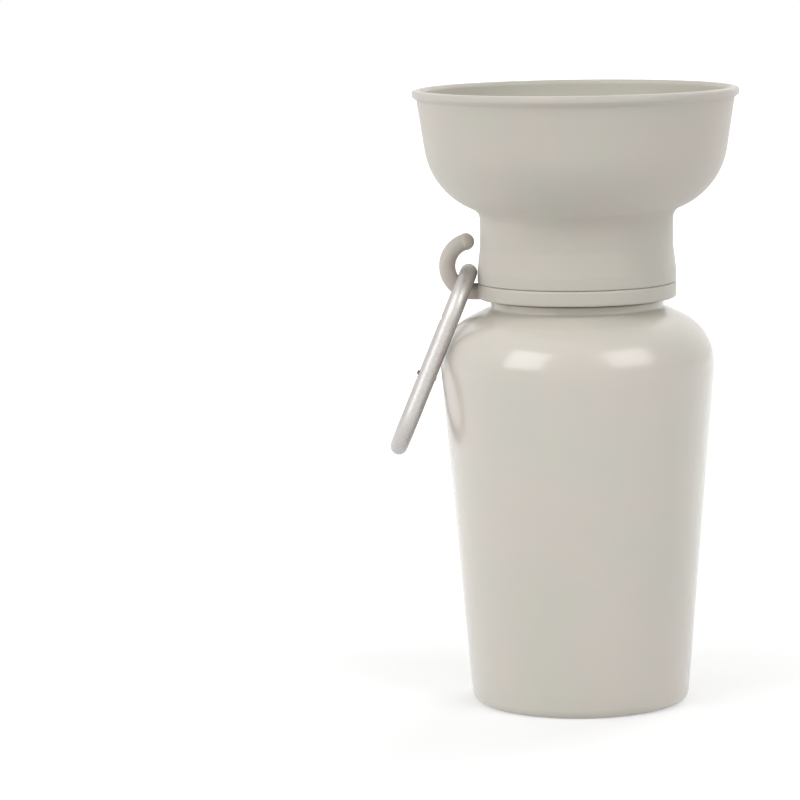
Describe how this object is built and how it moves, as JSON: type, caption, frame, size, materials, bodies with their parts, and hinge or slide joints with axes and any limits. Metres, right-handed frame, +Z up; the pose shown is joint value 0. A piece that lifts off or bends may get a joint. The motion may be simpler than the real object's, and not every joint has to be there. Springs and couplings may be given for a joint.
{
  "type": "dog travel water bottle",
  "caption": "Squeeze bottle with a screw-on lid, a soft bowl that stands up to drink from and folds down over the shoulder, a lift-and-turn valve and a spring clip on a hook.",
  "frame": {"origin": "centre of the bottle's flat base, on the surface it stands on", "axes": "+Z up along the bottle's axis; the clip hook is on the -X side; the front of the picture is -Y"},
  "size_m": [0.1023, 0.0946, 0.1797],
  "materials": {
    "bottle_gloss": "glossy soft plastic",
    "bowl_silicone": "satin silicone",
    "lid_plastic": "satin",
    "valve_plastic": "satin",
    "seal_silicone": "matt",
    "o_ring_rubber": "satin",
    "clip_aluminium": "satin",
    "steel": "satin"
  },
  "bodies": {
    "bottle": {"bottle": "bottle_gloss"},
    "lid_seal": {"lid_gasket": "seal_silicone"},
    "lid": {"lid_core": "lid_plastic", "collar": "lid_plastic", "bowl": "bowl_silicone"},
    "rim": {"bowl_rim": "bowl_silicone"},
    "valve_seal": {"stem_o_ring": "o_ring_rubber"},
    "valve": {"valve_stem": "valve_plastic", "stem_pin": "steel", "valve_knob": "lid_plastic", "knob_screw": "steel", "dome_cap": "valve_plastic", "pull_loop": "lid_plastic"},
    "clip": {"carabiner_body": "clip_aluminium", "gate_hinge_pin": "steel"},
    "gate": {"carabiner_gate": "clip_aluminium", "gate_latch_pin": "steel", "gate_spring": "steel"},
    "plunger": {"gate_plunger": "steel"}
  },
  "joints": [
    {"name": "lid_lift", "type": "slide", "parent": "bottle", "child": "lid_seal", "axis": [0, 0, 1], "range_m": [0, 0.009]},
    {"name": "lid_turn", "type": "hinge", "parent": "lid_seal", "child": "lid", "pos_m": [0, 0, 0.13], "axis": [0, 0, 1], "range_deg": [0, 810]},
    {"name": "bowl_flip", "type": "slide", "parent": "lid", "child": "rim", "axis": [0, 0, -1], "range_m": [0, 0.0672], "deforming": ["bowl"]},
    {"name": "plug_lift", "type": "slide", "parent": "lid", "child": "valve_seal", "axis": [0, 0, 1], "range_m": [0, 0.004]},
    {"name": "plug_turn", "type": "hinge", "parent": "valve_seal", "child": "valve", "pos_m": [0, 0, 0.14], "axis": [0, 0, 1], "range_deg": [0, 90]},
    {"name": "clip_swing", "type": "hinge", "parent": "lid", "child": "clip", "pos_m": [-0.0303, 0, 0.12771], "axis": [0, -1, 0], "range_deg": [-95, 0]},
    {"name": "gate_open", "type": "hinge", "parent": "clip", "child": "gate", "pos_m": [-0.03877, 0.0125, 0.10862], "axis": [-0.9237, 0, 0.3832], "range_deg": [0, 20], "stiffness_Nm_per_rad": 0.05},
    {"name": "plunger_press", "type": "slide", "parent": "gate", "child": "plunger", "axis": [-0.3832, 0, -0.9237], "range_m": [0, 0.00036]}
  ],
  "couplings": [
    {"joint": "lid_lift", "follows": "lid_turn", "m_per_rad": 0.00063662},
    {"joint": "plug_lift", "follows": "plug_turn", "m_per_rad": 0.0025465},
    {"joint": "plunger_press", "follows": "gate_open", "m_per_rad": 0.0010313}
  ]
}
